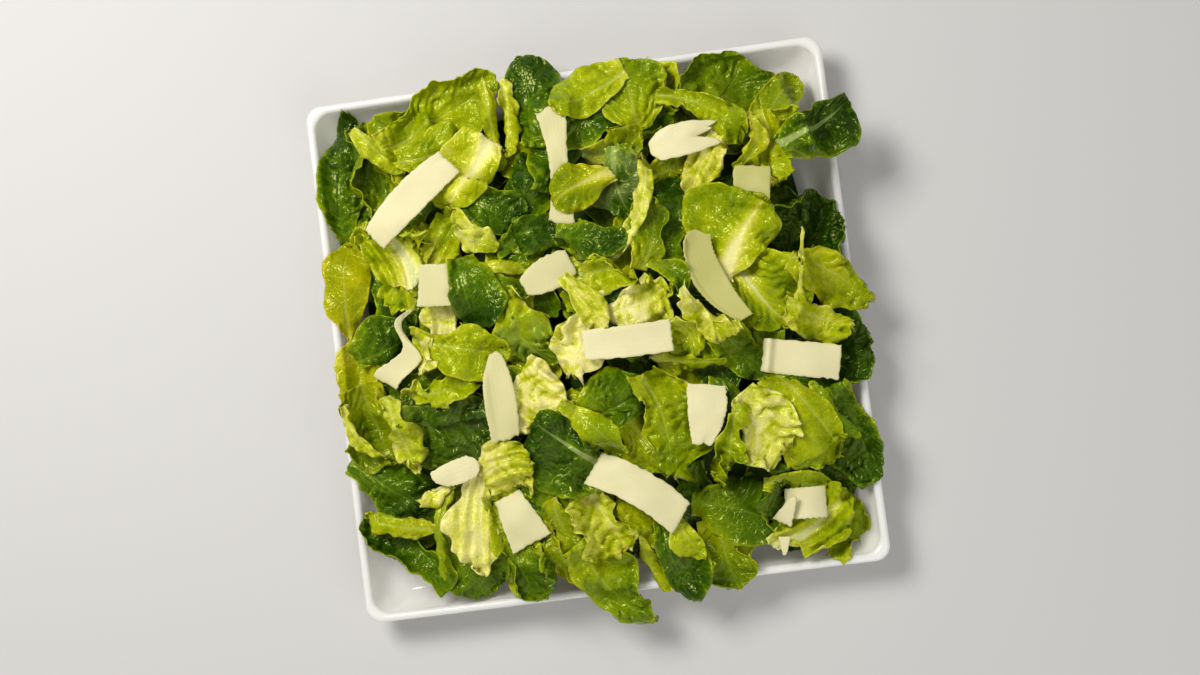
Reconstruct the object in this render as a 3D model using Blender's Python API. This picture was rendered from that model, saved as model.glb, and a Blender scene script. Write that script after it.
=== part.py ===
"""Caesar salad served on its square white plate.

Three kinds of solid make the dish: the porcelain plate, one heap of loose romaine leaves and the
parmesan shavings that lie on it. X and Y run along the plate's sides, +Z is up, and the origin is
the middle of the plate's flat underside. Lengths in the constants and tables are millimetres.
"""
import math

import bmesh
import bpy
import numpy as np

MM = 0.001

# Plate: a straight-sided square with a narrow rolled lip, a steep hollow wall and a flat floor.
PLATE_WIDTH = 300.0
PLATE_HEIGHT = 25.0
PLATE_CORNER = 9.0
CORNER_GROWTH = 0.25  # the corners soften by this much for each millimetre inwards
LIP_WIDTH = 5.0
LIP_DROP = 3.0
WALL_WIDTH = 13.0
WALL_CURVE = 2.2
FLOOR_HEIGHT = 6.0
FOOT_INSET = 15.0
FOOT_CURVE = 1.5
FOOT_CHAMFER = 0.6
CORNER_STEPS = 7
LIP_STEPS = 7
WALL_STEPS = 7
SKIRT_STEPS = 6

# Heap of leaves: a low dome on which each leaf stands as its own lobe.
SEAT_GAP = 0.7  # air between the heap and the plate
DOME_TOP = 50.0
DOME_EDGE = 25.0
DOME_SINK = 3.0  # how far the dark gaps between the leaves lie below the dome
LEAF_SQUARENESS = 2.2
LEAF_EDGE = 2.2  # least thickness of an overhanging leaf
RIB_DEPTH = 1.4
RIB_WIDTH = 3.0
GRID_CELLS = 50
CELL = 6.5  # about the widest spacing of the grid's points
OUTLINE_REACH = 212.0
OUTLINE_STEP = 0.5
OUTLINE_DIRECTIONS = 400
EVEN_SPAN = 24  # directions to each side that are averaged for the grid's inner rings
EDGE_FOLLOW = 4  # how late, going outwards, the grid's rings take up the ragged outline
SKIRT_SHARE = 0.975  # the heap's lower edge lies a little inside its upper one
UNDER_INSETS = (4.7, 9.5, 20.0)  # where the underside bends to follow the plate's lip, wall and floor
UNDER_STEP = 1.5

# Leaves, from the corner at the far left to the near right: centre x and y, heading of the tip in
# degrees from +X, length, width, lift of the rim above the dome, and crown, which is the height of
# the middle over the rim, or below it in a cupped leaf.
LEAVES = (
    (-136, 109, 81, 76, 27, 3, -2),
    (-124, 119, 95, 56, 42, 4, -5),
    (-105, 125, 60, 46, 36, 5, 3),
    (-68, 139, 28, 66, 36, 7, 3),
    (-82, 116, 20, 34, 26, 9, 3),
    (-60, 98, 237, 44, 28, 8, 4),
    (-43, 126, 275, 50, 15, 9, 3),
    (-32, 128, 265, 44, 13, 7, 3),
    (-18, 139, 90, 54, 34, 5, 3),
    (-26, 87, 80, 36, 26, 3, 2),
    (-48, 77, 325, 34, 22, 3, 2),
    (-17, 58, 5, 48, 20, 3, 2),
    (11, 135, 20, 42, 30, 7, 4),
    (38, 134, 95, 38, 40, 5, 4),
    (61, 137, 30, 32, 26, 3, 2),
    (20, 116, 20, 34, 22, 3, 3),
    (47, 117, 10, 32, 20, 4, 3),
    (28, 101, 10, 34, 18, 6, 3),
    (-2, 87, 215, 36, 28, 8, 3),
    (24, 74, 270, 42, 38, 5, 5),
    (38, 60, 77, 62, 26, 8, 4),
    (81, 114, 330, 52, 22, 8, 4),
    (104, 126, 15, 84, 44, 6, -6),
    (146, 96, 25, 42, 34, 7, 3),
    (114, 84, 280, 36, 30, 5, 3),
    (75, 86, 240, 46, 28, 8, 4),
    (59, 87, 20, 32, 18, 4, 2),
    (84, 46, 60, 64, 54, 9, 6),
    (100, 12, 300, 52, 44, 7, 5),
    (129, 45, 330, 48, 38, 4, -4),
    (121, 16, 257, 50, 12, 8, 2),
    (140, 8, 325, 50, 30, 6, 3),
    (130, -14, 335, 38, 20, 6, 3),
    (127, -32, 0, 58, 48, 3, 3),
    (138, -82, 295, 60, 32, 3, 3),
    (88, -70, 300, 44, 40, 9, 4),
    (110, -68, 310, 56, 38, 6, 4),
    (65, -3, 320, 38, 18, 6, 2),
    (56, -16, 20, 38, 28, 3, 4),
    (82, -30, 310, 34, 22, 3, 2),
    (52, 22, 305, 28, 14, 5, 2),
    (40, -63, 280, 56, 38, 5, 4),
    (58, -77, 260, 40, 16, 6, 2),
    (47, -103, 270, 34, 28, 3, 2),
    (72, -112, 340, 52, 36, 5, 4),
    (113, -120, 35, 60, 48, 6, -3),
    (60, -139, 280, 38, 26, 4, 2),
    (32, -137, 275, 48, 28, 4, 2),
    (17, -138, 290, 30, 12, 6, 2),
    (0, -146, 303, 58, 36, 4, 2),
    (-10, -112, 285, 48, 32, 7, 4),
    (-30, -111, 290, 30, 24, 4, 2),
    (16, -109, 320, 34, 22, 4, 2),
    (-26, -68, 140, 54, 48, 8, 5),
    (-6, -57, 315, 44, 18, 6, 2),
    (5, -40, 0, 34, 30, 3, 4),
    (-6, -8, 60, 44, 34, 7, 3),
    (-2, 17, 302, 42, 20, 7, 3),
    (14, 30, 0, 32, 20, 4, 2),
    (28, 12, 0, 38, 28, 3, 3),
    (-139, 46, 270, 56, 31, 5, 3),
    (-126, 66, 80, 50, 18, 4, 2),
    (-97, 62, 125, 60, 50, 7, 4),
    (-59, 63, 330, 34, 18, 7, 3),
    (-67, 32, 280, 46, 34, 5, 5),
    (-45, 42, 355, 40, 14, 6, 2),
    (-46, 26, 300, 28, 22, 3, 2),
    (-38, 0, 300, 46, 32, 6, 3),
    (-74, -3, 345, 54, 34, 6, 4),
    (-89, -22, 5, 42, 22, 5, 2),
    (-138, -2, 100, 46, 30, 3, 2),
    (-122, 12, 20, 38, 34, 4, 4),
    (-114, 30, 310, 34, 18, 3, 2),
    (-128, -40, 350, 50, 44, 5, -5),
    (-112, -60, 280, 40, 16, 7, 2),
    (-127, -72, 330, 44, 40, 3, 4),
    (-85, -48, 20, 56, 48, 3, 5),
    (-126, -104, 150, 54, 36, 3, 4),
    (-101, -106, 255, 50, 12, 6, 2),
    (-84, -112, 280, 62, 46, 5, 5),
    (-50, -129, 285, 42, 30, 4, 3),
    (-34, -127, 290, 28, 14, 3, 2),
    (-57, -73, 290, 38, 26, 5, 2),
    (-31, -38, 50, 48, 26, 7, 3),
)

# Shavings: thin strips cut off a block of cheese.
SHAVING_THICKNESS = 1.6
SHAVING_GAP = 0.7  # air between a shaving and the leaf below it
SHAVING_CLEARANCE = 10.0  # how far round a shaving the leaves stay below it
CEILING_SLOPE = 0.12  # how fast the leaves may rise away from a shaving's underside
SHAVING_REST = 70  # share of the leaf surface below it, in percent, that a shaving rests above
STRIP_STEPS = 8
STRIP_LANES = 2

# Each shaving: centre x and y, heading, length, the widths at its two ends and its middle, the
# sideways bow of its centre line, the arch as the change of slope in degrees from the middle to an
# end, the tilt in degrees, and the twist in degrees from end to end.
SHAVINGS = (
    (-91, 85, 38, 62, 15, 17, 20, 1.5, 10, 2, 0),
    (-6, 93, 86, 70, 15, 19, 11, -3.5, 8, 3, 6),
    (65, 95, 5, 40, 16, 6, 20, 1, 9, 2, 8),
    (99, 67, -10, 21, 19, 20, 20, 0, 6, 0, 0),
    (72, 19, -66, 58, 14, 9, 14, -6, -12, -4, 24),
    (-20, 33, 22, 31, 10, 15, 20, 0, 10, -3, 6),
    (-83, 35, 84, 24, 21, 17, 18, 0, 5, 3, 0),
    (-107, 3, 66, 46, 18, 3, 12, -5, 14, 8, 50),
    (-55, -31, 92, 51, 14, 10, 16, 4, 13, 0, 0),
    (20, -10, -1, 50, 17, 18, 18, -1, 9, 2, 0),
    (114, -32, -13, 44, 19, 20, 20, 0, 10, 1, 0),
    (57, -56, 258, 34, 22, 11, 21, 1.5, 8, -2, 0),
    (14, -94, -40, 58, 21, 21, 21, 5, 18, 0, 0),
    (-85, -70, 14, 28, 11, 14, 14, 0, 7, 2, 0),
    (-52, -100, -64, 31, 16, 25, 21, 0, 9, 0, 0),
    (106, -112, -4, 25, 17, 18, 18, 0, 38, 0, 0),
)


def clear_scene():
    for item in list(bpy.data.objects):
        bpy.data.objects.remove(item, do_unlink=True)


def make_material(name, colour, roughness, coat=0.0):
    material = bpy.data.materials.new(name)
    material.use_nodes = True
    shader = material.node_tree.nodes["Principled BSDF"]
    shader.inputs["Base Color"].default_value = (*colour, 1.0)
    shader.inputs["Roughness"].default_value = roughness
    shader.inputs["Metallic"].default_value = 0.0
    shader.inputs["Coat Weight"].default_value = coat
    material.diffuse_color = (*colour, 1.0)
    return material


def add_solid(name, points, faces, material):
    """Makes one closed, outward-facing object from points in millimetres."""
    mesh = bpy.data.meshes.new(name)
    shape = bmesh.new()
    corners = [shape.verts.new(point) for point in np.asarray(points) * MM]
    for face in faces:
        shape.faces.new([corners[index] for index in face])
    bmesh.ops.triangulate(shape, faces=[face for face in shape.faces if len(face.verts) > 4])
    bmesh.ops.recalc_face_normals(shape, faces=shape.faces)
    shape.to_mesh(mesh)
    shape.free()
    mesh.shade_smooth()
    mesh.set_sharp_from_angle(angle=math.radians(40))
    solid = bpy.data.objects.new(name, mesh)
    bpy.context.collection.objects.link(solid)
    mesh.materials.append(material)
    return solid


def bridge(first, second):
    """Joins two closed rings of vertex indices with a band of quads."""
    after = np.roll(first, -1), np.roll(second, -1)
    return np.stack([first, after[0], after[1], second], axis=1).tolist()


def square_ring(inset, height):
    """A level square with round corners, inset from the plate's widest outline."""
    half = PLATE_WIDTH / 2 - inset
    corner = PLATE_CORNER + CORNER_GROWTH * inset
    turn = np.linspace(0, math.pi / 2, CORNER_STEPS + 1)
    ring = []
    for quarter in range(4):
        angle = turn + quarter * math.pi / 2
        middle = quarter * math.pi / 2 + math.pi / 4
        reach = (half - corner) * math.sqrt(2)
        x = reach * math.cos(middle) + corner * np.cos(angle)
        y = reach * math.sin(middle) + corner * np.sin(angle)
        ring.append(np.stack([x, y, np.full_like(x, height)], axis=1))
    return np.concatenate(ring)


def plate_section():
    """Inset and height of the rings, from the foot round the lip to the edge of the floor."""
    shoulder = PLATE_HEIGHT - LIP_DROP
    section = [(FOOT_INSET + FOOT_CHAMFER, 0.0)]
    for rise in np.linspace(0.03, 1, SKIRT_STEPS):
        section.append((FOOT_INSET * (1 - rise) ** FOOT_CURVE, shoulder * rise))
    for turn in np.linspace(0, math.pi, LIP_STEPS + 1)[1:]:
        section.append((LIP_WIDTH / 2 * (1 - math.cos(turn)), shoulder + LIP_DROP * math.sin(turn)))
    for fall in np.linspace(0, 1, WALL_STEPS + 1)[1:]:
        height = FLOOR_HEIGHT + (shoulder - FLOOR_HEIGHT) * (1 - fall) ** WALL_CURVE
        section.append((LIP_WIDTH + WALL_WIDTH * fall, height))
    return section


def plate_top(x, y):
    """Height of the plate's upper side below a point, with the lip carried on past its edge."""
    side = PLATE_WIDTH / 2 - PLATE_CORNER
    over = np.hypot(np.maximum(np.abs(x) - side, 0), np.maximum(np.abs(y) - side, 0))
    inset = np.where(over > 0, PLATE_CORNER - over, PLATE_WIDTH / 2 - np.maximum(np.abs(x), np.abs(y)))
    fall = np.clip((inset - LIP_WIDTH) / WALL_WIDTH, 0, 1)
    wall = FLOOR_HEIGHT + (PLATE_HEIGHT - FLOOR_HEIGHT) * (1 - fall) ** WALL_CURVE
    return np.where(inset < LIP_WIDTH, PLATE_HEIGHT, wall)


def seat(x, y):
    """Lowest height at which the leaves clear the plate."""
    return plate_top(x, y) + SEAT_GAP


def clear_of_lip(x, y):
    """Lowest upper surface of the leaves: a leaf's thickness over the plate for a cell all round."""
    shifts = [(0, 0), (CELL, 0), (-CELL, 0), (0, CELL), (0, -CELL)]
    return np.max([seat(x + dx, y + dy) for dx, dy in shifts], axis=0) + LEAF_EDGE


def seat_along(ring):
    """Seat height for each point of a ring, taken over its edges to both neighbours."""
    heights = seat(ring[:, 0], ring[:, 1])
    for neighbour in (np.roll(ring, 1, axis=0), np.roll(ring, -1, axis=0)):
        for share in np.linspace(0.125, 1, 8):
            between = ring * (1 - share) + neighbour * share
            heights = np.maximum(heights, seat(between[:, 0], between[:, 1]))
    return heights


def square_reach(angle, inset):
    """Distance from the plate's middle to its outline at some inset, in each direction."""
    half = PLATE_WIDTH / 2 - inset
    corner = PLATE_CORNER + CORNER_GROWTH * inset
    east, north = np.abs(np.cos(angle)), np.abs(np.sin(angle))
    straight = half / np.maximum(east, north)
    middle = (half - corner) * (east + north)
    spare = np.maximum(middle**2 - 2 * (half - corner) ** 2 + corner**2, 0)
    rounded = straight * np.minimum(east, north) > half - corner
    return np.where(rounded, middle + np.sqrt(spare), straight)


def build_plate(material):
    rings = [square_ring(inset, height) for inset, height in plate_section()]
    count = len(rings[0])
    faces = []
    for level in range(len(rings) - 1):
        lower = np.arange(count) + level * count
        faces += bridge(lower, lower + count)
    faces.append(list(range(count)))
    faces.append(list(range((len(rings) - 1) * count, len(rings) * count)))
    return add_solid("plate", np.concatenate(rings), faces, material)


def dome(x, y):
    """Height of the low dome that carries the leaves."""
    half = PLATE_WIDTH / 2
    spread = (np.abs(x / half) ** 3 + np.abs(y / half) ** 3) ** (2 / 3)
    return DOME_EDGE + (DOME_TOP - DOME_EDGE) * np.clip(1 - spread, 0, 1)


def leaf_lobe(leaf, x, y):
    """A leaf's share of the surface: 1 - q inside its outline, and the height there."""
    centre_x, centre_y, heading, length, width, lift, crown = leaf
    turn = math.radians(heading)
    along = (x - centre_x) * math.cos(turn) + (y - centre_y) * math.sin(turn)
    across = (y - centre_y) * math.cos(turn) - (x - centre_x) * math.sin(turn)
    q = (np.abs(2 * along / length) ** LEAF_SQUARENESS + np.abs(2 * across / width) ** LEAF_SQUARENESS)
    rib = RIB_DEPTH * np.exp(-((across / RIB_WIDTH) ** 2))
    height = dome(centre_x, centre_y) + lift + crown * (1 - q) - rib
    return q, height


def heap_top(x, y):
    """The highest leaf at each point, or the sunken dome between leaves."""
    height = dome(x, y) - DOME_SINK
    for leaf in LEAVES:
        q, lobe = leaf_lobe(leaf, x, y)
        height = np.where(q < 1, np.maximum(height, lobe), height)
    return np.maximum(height, clear_of_lip(x, y))


def heap_outline(angles):
    """Reach of the outermost leaf in each direction from the middle."""
    reach = np.arange(PLATE_WIDTH / 3, OUTLINE_REACH, OUTLINE_STEP)
    x = np.cos(angles)[:, None] * reach
    y = np.sin(angles)[:, None] * reach
    covered = np.zeros(x.shape, bool)
    for leaf in LEAVES:
        covered |= leaf_lobe(leaf, x, y)[0] < 1
    furthest = np.max(np.where(covered, reach, 0), axis=1)
    return (np.roll(furthest, 1) + 2 * furthest + np.roll(furthest, -1)) / 4


def heap_grid():
    """Plan of the upper surface: a square grid stretched out to the heap's outline."""
    line = np.linspace(-1, 1, GRID_CELLS + 1)
    across, up = np.meshgrid(line, line)
    share = np.maximum(np.abs(across), np.abs(up))
    angle = np.arctan2(up, across)
    table = np.linspace(-math.pi, math.pi, OUTLINE_DIRECTIONS + 1)
    ragged = heap_outline(table[:-1])
    window = np.arange(-EVEN_SPAN, EVEN_SPAN + 1)
    even = np.mean([np.roll(ragged, shift) for shift in window], axis=0)
    follow = share**EDGE_FOLLOW
    wavy = np.interp(angle, table, np.append(ragged, ragged[0]))
    calm = np.interp(angle, table, np.append(even, even[0]))
    reach = follow * wavy + (1 - follow) * calm
    return share * reach * np.cos(angle), share * reach * np.sin(angle)


def rim_order():
    """Indices of the grid's border points, once round."""
    size = GRID_CELLS + 1
    index = np.arange(size * size).reshape(size, size)
    return np.concatenate([index[0, :-1], index[:-1, -1], index[-1, :0:-1], index[:0:-1, 0]])


def build_heap(material, covers):
    """One closed solid: the lobed top, a short skirt and an underside that follows the plate."""
    x, y = heap_grid()
    z = heap_top(x, y)
    for cover in covers:
        z = np.minimum(z, cover(x, y))
    size = GRID_CELLS + 1
    index = np.arange(size * size).reshape(size, size)
    quads = np.stack([index[:-1, :-1], index[:-1, 1:], index[1:, 1:], index[1:, :-1]], axis=-1)
    faces = quads.reshape(-1, 4).tolist()
    top = np.stack([x, y, z], axis=-1).reshape(-1, 3)
    border = rim_order()
    edge = top[border]
    skirt = edge * (SKIRT_SHARE, SKIRT_SHARE, 1)
    skirt[:, 2] = seat_along(skirt)
    top[border, 2] = np.maximum(edge[:, 2], skirt[:, 2] + LEAF_EDGE / 2)
    points = [top, skirt]
    ring = np.arange(len(border)) + len(top)
    faces += bridge(border, ring)
    total = len(top) + len(skirt)
    angle = np.arctan2(skirt[::2, 1], skirt[::2, 0])
    reach = np.hypot(skirt[::2, 0], skirt[::2, 1])
    for inset in UNDER_INSETS:
        reach = np.minimum(reach - UNDER_STEP, square_reach(angle, inset))
        under = np.stack([reach * np.cos(angle), reach * np.sin(angle), reach], axis=1)
        under[:, 2] = seat_along(under)
        inner = np.arange(len(under)) + total
        faces += halve(ring, inner) if len(ring) > len(inner) else bridge(ring, inner)
        points.append(under)
        ring = inner
        total += len(under)
    faces.append(ring.tolist())
    return add_solid("salad_leaves", np.concatenate(points), faces, material)


def halve(outer, inner):
    """Joins a ring to one with half as many points."""
    ahead = np.roll(inner, -1)
    even, odd, following = outer[::2], outer[1::2], np.roll(outer[::2], -1)
    left = np.stack([even, odd, inner], axis=1).tolist()
    middle = np.stack([odd, ahead, inner], axis=1).tolist()
    right = np.stack([odd, following, ahead], axis=1).tolist()
    return left + middle + right


def strip_surface(shaving, along_steps=STRIP_STEPS, lanes=STRIP_LANES):
    """Middle surface of a shaving on a grid, about its own centre at height 0."""
    _, _, heading, length, start, end, middle, bow, arch, tilt, twist = shaving
    u = np.linspace(0, 1, along_steps + 1)
    slope = np.radians(tilt + 2 * arch * (0.5 - u))
    step = length / along_steps
    half_slope = (slope[1:] + slope[:-1]) / 2
    run = np.concatenate([[0], np.cumsum(np.cos(half_slope)) * step])
    rise = np.concatenate([[0], np.cumsum(np.sin(half_slope)) * step])
    run -= run.mean()
    rise -= rise.mean()
    width = start * (1 - u) + end * u + (middle - (start + end) / 2) * 4 * u * (1 - u)
    side = bow * (4 * u * (1 - u) - 0.5)
    roll = np.radians(twist) * (u - 0.5)
    v = np.linspace(-0.5, 0.5, lanes + 1)
    along = run[:, None] - np.sin(slope[:, None]) * np.sin(roll[:, None]) * v * width[:, None]
    across = side[:, None] + np.cos(roll)[:, None] * v * width[:, None]
    height = rise[:, None] + np.sin(roll)[:, None] * v * width[:, None] * np.cos(slope[:, None])
    turn = math.radians(heading)
    x = shaving[0] + along * math.cos(turn) - across * math.sin(turn)
    y = shaving[1] + along * math.sin(turn) + across * math.cos(turn)
    return x, y, height


def place_shaving(shaving):
    """Sets a shaving down on the leaves, and gives the ceiling that it puts on them.

    The ceiling is the lowest of the upward cones that stand on the shaving's underside.
    """
    x, y, height = strip_surface(shaving, 24, 8)
    half = SHAVING_THICKNESS / 2 + SHAVING_GAP
    lift = np.percentile(heap_top(x, y) - height, SHAVING_REST) + half

    def cover(at_x, at_y):
        distance = np.hypot(at_x[..., None] - x.ravel(), at_y[..., None] - y.ravel())
        cones = height.ravel() + lift - half + CEILING_SLOPE * distance
        return np.where(distance.min(axis=-1) < SHAVING_CLEARANCE, cones.min(axis=-1), np.inf)

    return lift, cover


def build_shaving(name, shaving, lift, material):
    """A closed strip of even thickness round its middle surface."""
    x, y, height = strip_surface(shaving)
    middle = np.stack([x, y, height + lift], axis=-1)
    along = np.gradient(middle, axis=0)
    across = np.gradient(middle, axis=1)
    normal = np.cross(along, across)
    normal *= SHAVING_THICKNESS / 2 / np.linalg.norm(normal, axis=-1, keepdims=True)
    upper, lower = middle + normal, middle - normal
    rows, lanes = x.shape
    index = np.arange(rows * lanes).reshape(rows, lanes)
    border = np.concatenate([index[0, :-1], index[:-1, -1], index[-1, :0:-1], index[:0:-1, 0]])
    quads = np.stack([index[:-1, :-1], index[:-1, 1:], index[1:, 1:], index[1:, :-1]], axis=-1)
    quads = quads.reshape(-1, 4)
    faces = quads.tolist() + (quads[:, ::-1] + rows * lanes).tolist()
    faces += bridge(border, border + rows * lanes)
    points = np.concatenate([upper.reshape(-1, 3), lower.reshape(-1, 3)])
    return add_solid(name, points, faces, material)


def main():
    clear_scene()
    porcelain = make_material("white_porcelain", (0.82, 0.80, 0.76), 0.12, coat=0.5)
    leaf = make_material("romaine_leaf", (0.28, 0.40, 0.03), 0.35)
    cheese = make_material("parmesan", (0.84, 0.79, 0.52), 0.55)
    build_plate(porcelain)
    placed = [place_shaving(shaving) for shaving in SHAVINGS]
    build_heap(leaf, [cover for _, cover in placed])
    for number, (shaving, (lift, _)) in enumerate(zip(SHAVINGS, placed), start=1):
        build_shaving(f"parmesan_shaving_{number:02d}", shaving, lift, cheese)


main()
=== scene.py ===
from math import cos, pi, radians, sin

import bmesh
import bpy
import numpy as np
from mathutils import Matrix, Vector


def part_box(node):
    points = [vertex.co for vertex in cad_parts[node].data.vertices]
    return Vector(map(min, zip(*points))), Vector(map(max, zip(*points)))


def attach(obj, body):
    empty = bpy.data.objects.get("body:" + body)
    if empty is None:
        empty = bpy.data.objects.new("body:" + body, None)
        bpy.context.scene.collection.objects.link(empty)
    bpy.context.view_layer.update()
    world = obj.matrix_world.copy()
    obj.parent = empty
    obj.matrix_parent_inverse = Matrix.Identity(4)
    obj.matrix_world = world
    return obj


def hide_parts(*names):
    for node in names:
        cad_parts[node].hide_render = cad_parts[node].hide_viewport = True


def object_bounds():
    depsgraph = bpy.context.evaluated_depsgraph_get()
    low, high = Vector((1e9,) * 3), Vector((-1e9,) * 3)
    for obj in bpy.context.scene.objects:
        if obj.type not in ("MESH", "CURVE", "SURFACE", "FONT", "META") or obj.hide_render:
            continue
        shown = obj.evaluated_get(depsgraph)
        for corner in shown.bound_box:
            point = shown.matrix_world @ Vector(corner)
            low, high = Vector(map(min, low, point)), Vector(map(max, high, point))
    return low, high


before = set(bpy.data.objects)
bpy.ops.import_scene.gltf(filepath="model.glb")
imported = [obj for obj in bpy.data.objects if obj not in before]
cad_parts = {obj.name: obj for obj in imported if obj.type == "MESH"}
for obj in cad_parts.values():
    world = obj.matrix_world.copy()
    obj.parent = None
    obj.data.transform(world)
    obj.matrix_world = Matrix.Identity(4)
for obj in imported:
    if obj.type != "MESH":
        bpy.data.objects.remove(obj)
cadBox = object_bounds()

mm = 0.001
print("frame loaded:", len(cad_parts), "nodes")


class Wire:
    # One value in a shader tree. Arithmetic on it adds Math nodes.
    def __init__(self, tree, socket):
        self.tree = tree
        self.socket = socket

    def math(self, operation, *others):
        node = self.tree.nodes.new("ShaderNodeMath")
        node.operation = operation
        for place, value in zip(node.inputs, (self, *others)):
            plug(self.tree, place, value)
        return Wire(self.tree, node.outputs[0])

    def flipped(self, operation, other):
        start = Wire(self.tree, None)
        node = self.tree.nodes.new("ShaderNodeMath")
        node.operation = operation
        plug(self.tree, node.inputs[0], other)
        plug(self.tree, node.inputs[1], self)
        start.socket = node.outputs[0]
        return start

    def __add__(self, other):
        return self.math("ADD", other)

    def __sub__(self, other):
        return self.math("SUBTRACT", other)

    def __mul__(self, other):
        return self.math("MULTIPLY", other)

    def __truediv__(self, other):
        return self.math("DIVIDE", other)

    def __pow__(self, other):
        return self.math("POWER", other)

    def __radd__(self, other):
        return self.flipped("ADD", other)

    def __rsub__(self, other):
        return self.flipped("SUBTRACT", other)

    def __rmul__(self, other):
        return self.flipped("MULTIPLY", other)

    def __rtruediv__(self, other):
        return self.flipped("DIVIDE", other)

    def clamp(self):
        return self.math("MAXIMUM", 0.0).math("MINIMUM", 1.0)

    def absolute(self):
        return self.math("ABSOLUTE")

    def sine(self):
        return self.math("SINE")


def plug(tree, place, value):
    # Puts a number, a colour, a wire or a socket into a node's socket.
    if isinstance(value, Wire):
        tree.links.new(value.socket, place)
    elif isinstance(value, bpy.types.NodeSocket):
        tree.links.new(value, place)
    else:
        place.default_value = value


def addNode(tree, kind, settings=None, sockets=None):
    # Makes any node: its settings first, then the values or links of its sockets.
    node = tree.nodes.new(kind)
    for name, value in (settings or {}).items():
        if name == "stops":
            ramp = node.color_ramp
            while len(ramp.elements) < len(value):
                ramp.elements.new(0.5)
            for element, (position, colour) in zip(ramp.elements, value):
                element.position = position
                element.color = (*colour, 1.0)
        else:
            setattr(node, name, value)
    for name, value in (sockets or {}).items():
        plug(tree, node.inputs[name], value)
    return node


def mixColour(tree, factor, first, second, blend="MIX"):
    node = addNode(tree, "ShaderNodeMix", {"data_type": "RGBA", "blend_type": blend})
    plug(tree, node.inputs[0], factor)
    plug(tree, node.inputs[6], first if not isinstance(first, tuple) else (*first, 1.0))
    plug(tree, node.inputs[7], second if not isinstance(second, tuple) else (*second, 1.0))
    return node.outputs[2]


def newMaterial(name):
    material = bpy.data.materials.new(name)
    material.use_nodes = True
    tree = material.node_tree
    return material, tree, tree.nodes["Principled BSDF"]


def noise(tree, vector, scale, detail=2.0, rough=0.5):
    sockets = {"Vector": vector, "Scale": scale, "Detail": detail, "Roughness": rough}
    return Wire(tree, addNode(tree, "ShaderNodeTexNoise", None, sockets).outputs["Fac"])


def gridFaces(rows, columns):
    # Quads of a grid whose first index runs along u and second along v; they face u cross v.
    index = np.arange(rows * columns).reshape(rows, columns)
    return np.stack([index[:-1, :-1], index[1:, :-1], index[1:, 1:], index[:-1, 1:]], axis=-1).reshape(-1, 4)


def gridBorder(rows, columns):
    # Border indices, counter-clockwise about u cross v.
    index = np.arange(rows * columns).reshape(rows, columns)
    return np.concatenate([index[:-1, 0], index[-1, :-1], index[:0:-1, -1], index[0, :0:-1]])


def shellFaces(rows, columns):
    # A closed sheet: upper grid, lower grid turned over, and the strip that joins their borders.
    upper = gridFaces(rows, columns)
    lower = upper[:, ::-1] + rows * columns
    border = gridBorder(rows, columns)
    after = np.roll(border, -1)
    strip = np.stack([border + rows * columns, after + rows * columns, after, border], axis=1)
    return upper, lower, strip


def meshPiece(name, points, faces, material, body="root", uvs=None, data=None):
    # One object from points in millimetres and quads; uvs maps layer names to one place a corner.
    mesh = bpy.data.meshes.new(name)
    faces = np.asarray(faces)
    mesh.vertices.add(len(points))
    mesh.vertices.foreach_set("co", (np.asarray(points) * mm).astype(np.float32).ravel())
    mesh.loops.add(faces.size)
    mesh.loops.foreach_set("vertex_index", faces.astype(np.int32).ravel())
    mesh.polygons.add(len(faces))
    mesh.polygons.foreach_set("loop_start", np.arange(0, faces.size, faces.shape[1], dtype=np.int32))
    mesh.update(calc_edges=True)
    mesh.validate()
    for layerName, places in (uvs or {}).items():
        layer = mesh.uv_layers.new(name=layerName)
        layer.data.foreach_set("uv", places.astype(np.float32).ravel())
    for layerName, values in (data or {}).items():
        layer = mesh.color_attributes.new(name=layerName, type="FLOAT_COLOR", domain="POINT")
        layer.data.foreach_set("color", values.astype(np.float32).ravel())
    mesh.shade_smooth()
    piece = bpy.data.objects.new(name, mesh)
    bpy.context.collection.objects.link(piece)
    mesh.materials.append(material)
    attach(piece, body)
    return piece


camera = {"place": (0.0606, -0.0502, 0.9717), "turn": (2.27, 3.79, -7.46), "lens": 50.0}
lights = {
    # name: place, aim, width, height, power, colour
    "key": ((-0.50, 0.52, 0.95), (0.0, 0.0, 0.02), 0.50, 0.45, 12.2, (1.0, 0.98, 0.95)),
    "fill": ((0.55, -0.90, 0.80), (0.0, 0.0, 0.02), 1.3, 1.3, 6.2, (1.0, 0.99, 0.97)),
}
ambient = 0.31
floorSize = 3.0


def makeCamera():
    data = bpy.data.cameras.new("camera")
    data.lens = camera["lens"]
    data.sensor_width = 36.0
    data.clip_start = 0.05
    data.clip_end = 20.0
    eye = bpy.data.objects.new("camera", data)
    eye.location = camera["place"]
    eye.rotation_euler = [radians(angle) for angle in camera["turn"]]
    bpy.context.collection.objects.link(eye)
    bpy.context.scene.camera = eye


def makeLights():
    for name, (place, aim, width, height, power, colour) in lights.items():
        data = bpy.data.lights.new(name, "AREA")
        data.shape = "RECTANGLE"
        data.size = width
        data.size_y = height
        data.energy = power
        data.color = colour
        lamp = bpy.data.objects.new(name, data)
        lamp.location = place
        lamp.rotation_euler = (Vector(aim) - Vector(place)).to_track_quat("-Z", "Y").to_euler()
        bpy.context.collection.objects.link(lamp)
    world = bpy.data.worlds.new("studio")
    world.use_nodes = True
    world.node_tree.nodes["Background"].inputs["Color"].default_value = (0.95, 0.97, 1.0, 1.0)
    world.node_tree.nodes["Background"].inputs["Strength"].default_value = ambient
    bpy.context.scene.world = world
    bpy.context.scene.view_settings.view_transform = "Standard"


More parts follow.
